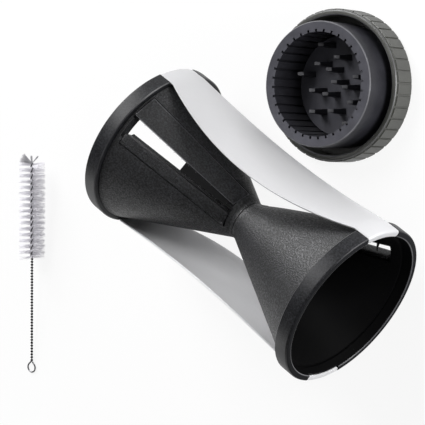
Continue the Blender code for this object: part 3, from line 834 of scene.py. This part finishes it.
def tooth_outline(steps=8):
    """A fin square to the cone, as (along the cone, depth below its surface) pairs."""
    root = FUNNEL_WALL / 2
    tip = FUNNEL_WALL + TOOTH_REACH
    sides = ([], [])
    for i in range(steps + 1):
        share = i / steps
        depth = root + (tip - root) * share
        middle = TOOTH_SWEEP * share ** 2
        half_width = (TOOTH_ROOT + (TOOTH_TIP - TOOTH_ROOT) * share) / 2
        sides[0].append((middle - half_width, depth))
        sides[1].append((middle + half_width, depth))
    return sides[0] + sides[1][::-1]


def comb_teeth(pitch):
    """Teeth that run from the comb's strip past the inside of the wall."""
    bm = bmesh.new()
    low, high = WINDOW_ENDS
    end_margin = TOOTH_SWEEP + (FUNNEL_WALL + TOOTH_REACH) * math.sin(CONE_ANGLE)
    count = int((high - low - end_margin) / pitch) + 1
    first = (low + high - end_margin - (count - 1) * pitch) / 2
    inset = SEAT_GAP / 2
    for i in range(count):
        height = first + i * pitch
        verts = [
            bm.verts.new((
                cone_radius(height) + along * math.sin(CONE_ANGLE) - depth * CONE_COS,
                COMB_THICKNESS - inset,
                height + along * CONE_COS + depth * math.sin(CONE_ANGLE),
            ))
            for along, depth in tooth_outline()
        ]
        face = bm.faces.new(verts)
        out = bmesh.ops.extrude_face_region(bm, geom=[face])["geom"]
        moved = [item for item in out if isinstance(item, bmesh.types.BMVert)]
        bmesh.ops.translate(bm, verts=moved, vec=(0, 2 * inset - COMB_THICKNESS, 0))
    return outward(bm)


def funnel_outline():
    tangent = WAIST_FILLET * math.tan(CONE_ANGLE / 2)
    centre = (WAIST_RADIUS + WAIST_FILLET, WAIST_FLAT - tangent)
    fillet = arc(centre, WAIST_FILLET, 180, 180 - math.degrees(CONE_ANGLE), 8)
    half_gap = SEAT_GAP / 2
    bore = PLUG_RADIUS + SEAT_GAP
    return [
        (WAIST_RADIUS, half_gap), *fillet[1:], (CONE_END_RADIUS, CONE_TOP),
        (SPIGOT_RADIUS, CONE_TOP), (SPIGOT_RADIUS, SPIGOT_TOP),
        (cone_radius(SPIGOT_TOP, FUNNEL_WALL), SPIGOT_TOP),
        (cone_radius(FUNNEL_FLOOR, FUNNEL_WALL), FUNNEL_FLOOR),
        (bore, FUNNEL_FLOOR), (bore, half_gap),
    ]


def rim_outline():
    spigot = (SPIGOT_RADIUS + SEAT_GAP, SPIGOT_TOP + SEAT_GAP)
    outer = arc((RIM_RADIUS - RIM_ROUND, HALF_LENGTH - RIM_ROUND), RIM_ROUND, 0, 90, 8)
    lip = RIM_ROUND / 2
    inner = arc((MOUTH_RADIUS + lip, HALF_LENGTH - lip), lip, 90, 180, 6)
    return [
        (spigot[0], RIM_BACK), (RIM_RADIUS - RIM_BACK_CHAMFER, RIM_BACK),
        (RIM_RADIUS, RIM_BACK + RIM_BACK_CHAMFER), *outer, *inner,
        (MOUTH_RADIUS - MOUTH_DRAFT, spigot[1]), spigot,
    ]


def strap_recess(angle):
    margin = SEAT_GAP / RIM_RADIUS
    low, high = RIM_BACK - CUT_OVER, HALF_LENGTH + CUT_OVER
    inner, outer = MOUTH_RADIUS - CUT_OVER, RIM_RADIUS + CUT_OVER
    outline = [
        (RECESS_RADIUS, low), (outer, low), (outer, high), (inner, high),
        (inner, RECESS_FACE), (RECESS_RADIUS, RECESS_FACE),
    ]
    return sector(outline, angle, STRAP_END_HALF_ANGLE + margin, steps=24)


def make_half(name, place, tooth_pitch):
    """One funnel with its rim ring, cover, bar, blade and comb."""
    rounding = sizes().edge_round

    def keep(form, bm, finishes, node, sharp=32.0):
        finished(f"{name}_{form}", bm, finishes, "spiralizer", [f"{name}_{node}"], sharp)

    axis = (place.to_3x3() @ Vector((0, 0, 1))).normalized()
    funnel = carved(turned(funnel_outline()), [
        slot_solid(WINDOW_ENDS, window_section),
        slot_solid(
            grown(COVER_ENDS, SEAT_GAP),
            lambda height: cover_section(height, SEAT_GAP, CUT_OVER)),
        slot_solid(grown(BLADE_ENDS, SEAT_GAP), bar_pocket_section),
    ])
    # The spigot's top and the funnel's inside take the bore's painted shade
    paint(funnel, 1, (0, SPIGOT_TOP - PAINT_OVER), (SPIGOT_RADIUS, SPIGOT_TOP + PAINT_OVER), FLAT)
    placed(funnel, place)
    for face in faces_towards_axis(funnel, place.translation, axis):
        face.material_index = 1
    keep("funnel_moulding", funnel, [textured_plastic(), plain("polished_bore")], "funnel")

    rim = carved(turned(rim_outline()), [
        strap_recess(SLOT_FROM_STRAP), strap_recess(SLOT_FROM_STRAP + math.pi)
    ])
    lip = MOUTH_RADIUS + RIM_ROUND / 2
    # The rim's inside takes the bore's painted shade too
    paint(rim, 1, (0, 0), (MOUTH_RADIUS + PAINT_OVER, HALF_LENGTH), (-0.5, 0.3))
    # A painted highlight line on the lip's rounded inner edge
    paint(rim, 2, (MOUTH_RADIUS, RIM_BACK), (lip, HALF_LENGTH), (0.3, 0.97))
    # A dimmer painted highlight line along the back chamfer
    paint(rim, 3, (CONE_END_RADIUS, 0), (RIM_RADIUS, RIM_BACK + RIM_BACK_CHAMFER), (-0.9, -0.3))
    paint(rim, 4, (lip, HALF_LENGTH - RIM_ROUND), (RIM_RADIUS, HALF_LENGTH + PAINT_OVER),
          (0.8, 1.1))
    rim_finishes = ["polished_bore", "worn_edge", "dull_edge", "matt_plastic"]
    keep("rim_moulding", placed(rim, place), [smooth_plastic(), *map(plain, rim_finishes)],
         "rim_ring")

    cover = slot_solid(COVER_ENDS, cover_section)
    # The cover's rounded edges get a painted highlight
    soften(cover, rounding, finish=1)
    keep("cover_plank", placed(cover, place), [textured_plastic(), plain("worn_edge")],
         "slot_cover")

    bar = slot_solid(BLADE_ENDS, bar_section)
    soften(bar, rounding)
    keep("clamp_bar", placed(bar, place), [textured_plastic()], "blade_bar")

    blade = slot_solid(BLADE_ENDS, blade_section)
    keep("ground_blade", placed(blade, place), [blade_steel()], "blade", 15.0)

    strip = slot_solid(grown(WINDOW_ENDS, -SEAT_GAP), comb_section, 2)
    comb = carved(strip, [comb_teeth(tooth_pitch)], "UNION")
    keep("toothed_comb", placed(comb, place), [blade_steel()], "comb", 15.0)


def strap_path(body_steps, bend_steps):
    """Stations along a strap from end to end: height, radius of its outer face, radius of its
    crown and half width."""
    half = []
    for i in range(body_steps // 2 + 1):
        share = 2 * i / body_steps
        bow = share ** 2
        radius = STRAP_MIDDLE_RADIUS + (STRAP_OUTER - STRAP_MIDDLE_RADIUS) * bow
        crown = STRAP_CROWN_RADIUS + (STRAP_OUTER - STRAP_CROWN_RADIUS) * bow
        end_width = STRAP_OUTER * math.sin(STRAP_END_HALF_ANGLE)
        width = STRAP_MIDDLE_HALF_WIDTH + (end_width - STRAP_MIDDLE_HALF_WIDTH) * bow
        half.append((share * STRAP_CREASE_HEIGHT, radius, crown, width))
    bend = arc((STRAP_OUTER - STRAP_BEND, STRAP_FACE - STRAP_BEND), STRAP_BEND, 0, 90, bend_steps)
    for radius, height in bend + [(STRAP_OUTER - STRAP_FOLD_DEPTH, STRAP_FACE)]:
        half.append((height, radius, radius, radius * math.sin(STRAP_END_HALF_ANGLE)))
    mirrored = [(-height, *rest) for height, *rest in reversed(half[1:])]
    return mirrored + half


def make_strap(name, clock, finish):
    stations = strap_path(body_steps=48, bend_steps=5)
    across_steps = 16
    last = len(stations) - 1
    bm = bmesh.new()
    bmesh.ops.create_grid(bm, x_segments=last, y_segments=across_steps, size=1.0)
    for vert in bm.verts:
        height, radius, crown, width = stations[round((vert.co.x + 1) / 2 * last)]
        across = width * vert.co.y
        vert.co = (radius - crown + math.sqrt(crown ** 2 - across ** 2), across, height)
    corners = [vert for vert in bm.verts if len(vert.link_edges) == 2]
    bmesh.ops.bevel(
        bm, geom=corners, offset=STRAP_CORNER, affect="VERTICES", segments=5,
        profile=0.5, material=-1,
    )
    frame_of_strap = LYING @ Matrix.Rotation(math.pi - clock, 4, "Z")
    outward_way = frame_of_strap.to_3x3() @ Vector((1, 0, 0))
    bmesh.ops.transform(bm, matrix=frame_of_strap, verts=bm.verts)
    bm.normal_update()
    if sum((face.normal for face in bm.faces), Vector()).dot(outward_way) < 0:
        bmesh.ops.reverse_faces(bm, faces=bm.faces)
    strap = finished(name, bm, [finish], "spiralizer", [name.replace("_sheet", "")],
                     sharp=60.0)
    sheet = strap.modifiers.new("sheet", "SOLIDIFY")
    sheet.thickness = STRAP_THICKNESS
    sheet.offset = -1.0
    sheet.use_even_offset = True
    edge = strap.modifiers.new("edge", "BEVEL")
    edge.width = sizes().strap_edge
    edge.segments = 3
    edge.limit_method = "ANGLE"
    edge.angle_limit = math.radians(50)


def make_plug():
    end = FUNNEL_FLOOR - SEAT_GAP
    side = end - PLUG_CHAMFER
    face = PLUG_RADIUS - PLUG_CHAMFER
    outline = [
        (0, -end), (face, -end), (PLUG_RADIUS, -side), (PLUG_RADIUS, side), (face, end), (0, end)
    ]
    plug = turned(outline, closed=False, steps=64)
    finished("waist_joining_plug", placed(plug, LYING), [smooth_plastic()], "spiralizer",
             ["waist_plug"])


def upright_faces(bm, outwards):
    """Faces of a turned shape that stand upright and look outwards or inwards, with their
    angles round the axis."""
    found = []
    for face in bm.faces:
        middle = face.calc_center_median()
        if abs(face.normal.z) < 0.01 and (middle.xy.dot(face.normal.xy) > 0) == outwards:
            found.append((math.atan2(middle.y, middle.x) % math.tau, face))
    return sorted(found, key=lambda item: item[0])


def make_cap_grip():
    """The cap's back and its ring of grip pads."""
    facets = 4
    inner = CAP_RADIUS - CAP_GRIP_WALL
    wall = CAP_RADIUS - GRIP_PAD_HEIGHT
    top = arc((wall - CAP_EDGE, CAP_GRIP_HEIGHT - CAP_EDGE), CAP_EDGE, 0, 90, 5)
    foot = arc((wall - CAP_EDGE, CAP_EDGE), CAP_EDGE, -90, 0, 5)
    outline = [
        (0, 0), *foot, *top, (inner + CAP_LIP, CAP_GRIP_HEIGHT),
        (inner, CAP_GRIP_HEIGHT - CAP_LIP), (inner, CAP_BASE), (0, CAP_BASE),
    ]
    bm = turned(outline, closed=False, steps=GRIP_PADS * facets)
    smallest = 1e-6
    turn = math.tau / GRIP_PADS
    groups = {}
    for angle, face in upright_faces(bm, True):
        if face.calc_area() > smallest:
            groups.setdefault(int(angle / turn), []).append(face)
    for faces in groups.values():
        bmesh.ops.inset_region(
            bm, faces=faces, thickness=PAD_MARGIN, depth=0.0, use_even_offset=True,
            use_boundary=True,
        )
        bmesh.ops.inset_region(
            bm, faces=faces, thickness=PAD_SLOPE, depth=GRIP_PAD_HEIGHT * PAD_SHARE,
            use_even_offset=True, use_boundary=True,
        )
    # A painted highlight on the roundings of the grip's top edges
    paint(bm, 1, (inner, CAP_GRIP_HEIGHT - CAP_EDGE), (wall, CAP_GRIP_HEIGHT), (0.6, 0.8))
    finished("cap_knurled_grip", placed(bm, CAP_FRAME), [grip_plastic(), plain("worn_edge")],
             "cap", ["cap_grip"], sharp=28.0)


def make_cap_tube():
    """A tube with square grooves down its inside."""
    low, high = CAP_BASE + SEAT_GAP, HOLDER_HEIGHT
    bore = HOLDER_RADIUS - HOLDER_WALL + HOLDER_RIB_HEIGHT
    outline = [
        (HOLDER_RADIUS, low), (HOLDER_RADIUS, high - CAP_LIP), (HOLDER_RADIUS - CAP_LIP, high),
        (bore, high), (bore, low),
    ]
    facets = 4
    bm = turned(outline, steps=facets * HOLDER_RIBS)
    lands = [face for i, (_, face) in enumerate(upright_faces(bm, False)) if i % facets]
    for item in bmesh.ops.extrude_face_region(bm, geom=lands)["geom"]:
        if isinstance(item, bmesh.types.BMVert):
            item.co.xy *= 1 - HOLDER_RIB_HEIGHT / bore
    bmesh.ops.delete(bm, geom=lands, context="FACES_ONLY")
    # A painted highlight on the outer top chamfer, and painted light on the flat top, which is
    # paler than the walls
    paint(bm, 1, (HOLDER_RADIUS - CAP_LIP, high - CAP_LIP), (HOLDER_RADIUS, high), (0.3, 0.95))
    paint(bm, 2, (0, high - CAP_LIP), (HOLDER_RADIUS, high + CAP_LIP), FLAT)
    finished("cap_ribbed_tube", placed(bm, CAP_FRAME),
             [cap_plastic(), plain("worn_edge"), plain("cap_face")],
             "cap", ["cap_tube"])


def make_spikes():
    """Tapered spikes with slanted tips, sunk into their plate."""
    low = CAP_BASE + SEAT_GAP
    radius = HOLDER_RADIUS - HOLDER_WALL - SEAT_GAP
    top = low + SPIKE_PLATE
    plate = turned([(0, low), (radius, low), (radius, top), (0, top)], closed=False, steps=96)
    forms = bmesh.new()
    foot = low + SPIKE_PLATE / 2
    for place in SPIKE_PLACES:
        new = bmesh.ops.create_cube(forms, size=1.0)["verts"]
        for vert in new:
            if vert.co.z > 0:
                vert.co.z = top + SPIKE_HEIGHT - SPIKE_SLANT * (vert.co.x + 0.5)
                vert.co.x = vert.co.x * SPIKE_LENGTH * SPIKE_TIP - SPIKE_LEAN
                vert.co.y *= SPIKE_WIDTH * SPIKE_TIP
            else:
                vert.co.z = foot
                vert.co.x *= SPIKE_LENGTH
                vert.co.y *= SPIKE_WIDTH
        bmesh.ops.translate(forms, verts=new, vec=(*place, 0))
    soften(forms, sizes().edge_round)
    spikes = carved(plate, [outward(forms)], "UNION")
    # Painted highlights on the spikes' upper faces, and painted light on the plate's flat top
    paint(spikes, 1, (0, top + SPIKE_HEIGHT / 2), (radius, HOLDER_HEIGHT), (0.5, 1.1))
    paint(spikes, 2, (0, top - SEAT_GAP), (radius, top + SEAT_GAP), FLAT)
    finished("cap_spike_plate", placed(spikes, CAP_FRAME),
             [cap_plastic(), plain("worn_edge"), plain("cap_face")],
             "cap", ["cap_spikes"])


def rod(bm, start, end, radius, end_radius=None, sides=WIRE_SIDES):
    """A straight round rod between two points."""
    way = end - start
    facing = way.to_track_quat("Z", "Y").to_matrix().to_4x4()
    place = Matrix.Translation((start + end) / 2) @ facing
    bmesh.ops.create_cone(
        bm, cap_ends=True, segments=sides, radius1=radius, radius2=end_radius or radius,
        depth=way.length, matrix=place,
    )


def twisted_wire(bm, start, length, turn, wire, offset, phase):
    """One round wire wound round the brush's axis, local X."""
    verts = bmesh.ops.create_circle(bm, segments=TWIST_SIDES, radius=wire, cap_ends=True)["verts"]
    lean = math.atan(math.tau * offset / turn)
    upright = Matrix.Rotation(math.pi / 2, 4, "Y")
    tilted = Matrix.Rotation(lean, 4, "Z")
    away = Matrix.Translation((start, 0, offset))
    spun = Matrix.Rotation(phase, 4, "X")
    bmesh.ops.transform(bm, matrix=spun @ away @ tilted @ upright, verts=verts)
    face = verts[0].link_faces[0]
    turns = length / turn
    steps = round(turns * TWIST_STEPS_PER_TURN)
    bmesh.ops.spin(
        bm, geom=[face, *face.edges, *verts], axis=(1, 0, 0), angle=turns * math.tau,
        dvec=(length / steps, 0, 0), steps=steps,
    )


def make_loop(bm, start):
    """A wire drop: two straight legs that run into a ring."""
    wire = sizes().loop_wire
    outer = start + 2 * LOOP_RADIUS + LOOP_WIRE_RADIUS
    radius = LOOP_RADIUS + LOOP_WIRE_RADIUS - wire - LOOP_CLEARANCE
    centre = Vector((outer - wire - radius, 0, 0))
    root = Vector((start - LOOP_ROOT, 0, 0))
    spread = math.asin(radius / (centre - root).length)
    touch = centre + Vector((-math.sin(spread), math.cos(spread), 0)) * radius
    for side in (1, -1):
        rod(bm, root, Vector((touch.x, touch.y * side, 0)), wire)
    ring = bmesh.ops.create_circle(bm, segments=WIRE_SIDES, radius=wire, cap_ends=True)["verts"]
    way = (touch - root).to_track_quat("Z", "Y").to_matrix().to_4x4()
    bmesh.ops.transform(bm, matrix=Matrix.Translation(touch) @ way, verts=ring)
    face = ring[0].link_faces[0]
    bmesh.ops.spin(
        bm, geom=[face, *face.edges, *ring], cent=centre, axis=(0, 0, 1),
        angle=-(math.pi + 2 * spread), steps=40,
    )


def make_brush_wire():
    """Two wires twisted together, with the drop that they form at the end."""
    bm = bmesh.new()
    begin = BRISTLE_LENGTH + SEAT_GAP
    for phase in (0.0, math.pi):
        twisted_wire(bm, begin, STEM_LENGTH, STEM_TWIST, STEM_WIRE, STEM_WIRE, phase)
    # The twisted stem takes the steel painted near-black as a painted dark reflection
    for face in bm.faces:
        face.material_index = 1
    make_loop(bm, begin + STEM_LENGTH)
    finished("brush_twisted_wire", placed(bm, brush_frame()),
             [plain("wire_steel"), plain("twisted_steel")],
             "brush", ["brush_wire"], sharp=60.0)


def make_bristles():
    """Fine strands held between two twisted wires, in a double helix, with tufts at the tip."""
    draw = random.Random(7)
    radius = sizes().strand_radius
    per_turn = sizes().strands_per_turn
    whole = bmesh.new()
    for phase in (math.pi / 2, -math.pi / 2):
        twisted_wire(
            whole, CORE_START, BRISTLE_LENGTH - CORE_START, ROW_TWIST, CORE_WIRE, CORE_OFFSET,
            phase + ROW_PHASE + math.tau * CORE_START / ROW_TWIST,
        )
    # The core wires take the same steel painted near-black
    for face in whole.faces:
        face.material_index = 1

    def add(strands, finish):
        """Joins one batch of (root, angle, lean, length) strands, which is quicker than one by
        one."""
        tuft = bmesh.new()
        for root, angle, lean, length in strands:
            foot = Vector((root, draw.uniform(-1, 1) * ROW_THICKNESS, 0))
            tip = foot + Vector((-math.sin(lean), 0, math.cos(lean))) * length
            spun = Matrix.Rotation(angle, 3, "X")
            rod(tuft, spun @ foot, spun @ tip, radius, radius * STRAND_TAPER, sides=3)
        for face in tuft.faces:
            face.material_index = finish
        batch = mesh_of(tuft, "tuft")
        whole.from_mesh(batch)
        bpy.data.meshes.remove(batch)

    for turn in range(math.ceil((BRISTLE_LENGTH - CORE_START) / ROW_TWIST)):
        strands = []
        for i in range(per_turn):
            root = CORE_START + ROW_TWIST * (turn + (i + draw.random()) / per_turn)
            if root > BRISTLE_LENGTH:
                break
            angle = math.tau * root / ROW_TWIST + ROW_PHASE + (math.pi if i % 2 else 0.0)
            angle += draw.gauss(0, sizes().strand_scatter)
            lean = draw.uniform(-1, 1) * sizes().strand_spread
            strands.append((root, angle, lean, BRISTLE_RADIUS * draw.uniform(0.9, 1.0)))
        add(strands, 0)
    # The tip tufts take the nylon painted darker grey as painted shade
    for middle, spread, lean, lean_spread, length, count in TIP_TUFTS:
        add([
            (
                CORE_START, math.radians(middle + draw.uniform(-spread, spread)),
                math.radians(lean + draw.uniform(-lean_spread, lean_spread)),
                length * draw.uniform(0.85, 1.0),
            )
            for _ in range(count)
        ], 2)
    finished("brush_nylon_bristles", placed(whole, brush_frame()),
             [bristle_nylon(), plain("twisted_steel"), plain("tip_nylon")],
             "brush", ["brush_bristles"], sharp=60.0)


class SPIRALIZER_OT_halves(bpy.types.Operator):
    """Builds both funnels with their rims, blades, bars, combs and covers"""

    bl_idname = "spiralizer.halves"
    bl_label = "Funnels and Blades"

    def execute(self, context):
        make_half("near", NEAR_HALF, NEAR_TOOTH_PITCH)
        make_half("far", FAR_HALF, FAR_TOOTH_PITCH)
        make_plug()
        return {"FINISHED"}


class SPIRALIZER_OT_straps(bpy.types.Operator):
    """Builds the two bent steel straps"""

    bl_idname = "spiralizer.straps"
    bl_label = "Steel Straps"

    def execute(self, context):
        make_strap("upper_strap_sheet", STRAP_CLOCK, sheet_steel("upper_strap_steel", 1.0))
        # The lower strap is painted 1.6 times paler than the upper, painted light for the shade
        # that its inner face, the side that shows, sits in
        make_strap(
            "lower_strap_sheet", STRAP_CLOCK - math.pi, sheet_steel("lower_strap_steel", 1.6)
        )
        return {"FINISHED"}


class SPIRALIZER_OT_cap(bpy.types.Operator):
    """Builds the food holder cap"""

    bl_idname = "spiralizer.cap"
    bl_label = "Holder Cap"

    def execute(self, context):
        make_cap_grip()
        make_cap_tube()
        make_spikes()
        return {"FINISHED"}


class SPIRALIZER_OT_brush(bpy.types.Operator):
    """Builds the cleaning brush"""

    bl_idname = "spiralizer.brush"
    bl_label = "Cleaning Brush"

    def execute(self, context):
        make_brush_wire()
        make_bristles()
        return {"FINISHED"}


def area_light(name, target, away, size, power):
    """A square lamp that looks at its target from a distance away from it."""
    light = bpy.data.lights.new(name, "AREA")
    light.shape = "SQUARE"
    light.size = size
    light.energy = power
    place = target + Vector(away)
    made = in_scene(name, light)
    made.location = place
    made.rotation_euler = (target - place).to_track_quat("-Z", "Y").to_euler()


def table_finish():
    """Pale table that the camera and the steel see nearly white, still holding the shadows."""
    finish = Finish("pale_table", "table")
    finish.set(Base_Color=rgba(finish.colour), Roughness=0.9, Specular_IOR_Level=0.1)
    path = finish.node("ShaderNodeLightPath")
    mirrored = finish.output(path, "Is Glossy Ray")
    seen = finish.output(path, "Is Camera Ray") * TABLE_GLOW_SEEN + mirrored * TABLE_GLOW_MIRRORED
    strength = 1.0 - mirrored * TABLE_MIRROR_LOSS
    glow = finish.node("ShaderNodeEmission", inputs={"Color": (1, 1, 1, 1), "Strength": strength})
    lit = Wire(finish, finish.shader.outputs["BSDF"])
    blend = finish.node(
        "ShaderNodeMixShader", inputs={"Fac": seen, 1: lit, 2: glow}, output="Shader"
    )
    output = finish.tree.nodes["Material Output"]
    finish.tree.links.new(blend.socket, output.inputs["Surface"])
    return finish.material


def studio_world():
    """White to the camera, a little less in reflections and softer as a light."""
    world = bpy.data.worlds.new("studio")
    world.use_nodes = True
    finish = Finish.of_tree(world.node_tree)
    path = finish.node("ShaderNodeLightPath")
    strength = (
        finish.output(path, "Is Camera Ray") * SKY_SEEN
        - finish.output(path, "Is Glossy Ray") * SKY_MIRROR_LOSS + SKY_LIGHT
    )
    background = finish.tree.nodes["Background"]
    finish.feed(background.inputs["Color"], (1, 1, 1, 1))
    finish.feed(background.inputs["Strength"], strength)
    bpy.context.scene.world = world


class SPIRALIZER_OT_stage(bpy.types.Operator):
    """Sets the table, the lights and the camera"""

    bl_idname = "spiralizer.stage"
    bl_label = "Table, Lights and Camera"

    def execute(self, context):
        scene = context.scene
        scene.view_settings.view_transform = "Standard"
        bm = bmesh.new()
        bmesh.ops.create_grid(bm, x_segments=1, y_segments=1, size=TABLE_HALF_SIZE)
        table = in_scene("table_top", mesh_of(bm, "table_top"))
        table.data.materials.append(table_finish())
        studio_world()
        for name, lamp in LAMPS.items():
            area_light(name, *lamp)

        camera = bpy.data.cameras.new("camera")
        camera.lens = CAMERA_LENS
        camera.sensor_width = CAMERA_SENSOR
        camera.clip_start = CAMERA_NEAREST
        made = in_scene("camera", camera)
        made.location = BODY_FOOT + CAMERA_PLACE
        made.rotation_euler = CAMERA_TURN
        scene.camera = made
        return {"FINISHED"}


class SPIRALIZER_PT_panel(bpy.types.Panel):
    """Sizes, colours and the building steps"""

    bl_idname = "SPIRALIZER_PT_panel"
    bl_label = "Spiralizer"
    bl_space_type = "VIEW_3D"
    bl_region_type = "UI"
    bl_category = "Spiralizer"

    def draw(self, context):
        for group in (context.scene.spiralizer_sizes, context.scene.spiralizer_colours):
            box = self.layout.box()
            for name in group.bl_rna.properties.keys():
                if name not in {"rna_type", "name"}:
                    box.prop(group, name)
        for step in STEPS:
            self.layout.operator(step.bl_idname)


STEPS = (
    SPIRALIZER_OT_halves, SPIRALIZER_OT_straps, SPIRALIZER_OT_cap, SPIRALIZER_OT_brush,
    SPIRALIZER_OT_stage,
)
CLASSES = (SpiralizerSizes, SpiralizerColours, *STEPS, SPIRALIZER_PT_panel)


def register():
    for item in CLASSES:
        bpy.utils.register_class(item)
    bpy.types.Scene.spiralizer_sizes = PointerProperty(type=SpiralizerSizes)
    bpy.types.Scene.spiralizer_colours = PointerProperty(type=SpiralizerColours)


def unregister():
    del bpy.types.Scene.spiralizer_colours
    del bpy.types.Scene.spiralizer_sizes
    for item in reversed(CLASSES):
        bpy.utils.unregister_class(item)


def main():
    register()
    bpy.ops.spiralizer.halves()
    bpy.ops.spiralizer.straps()
    bpy.ops.spiralizer.cap()
    bpy.ops.spiralizer.brush()
    bpy.ops.spiralizer.stage()


if __name__ == "__main__":
    main()
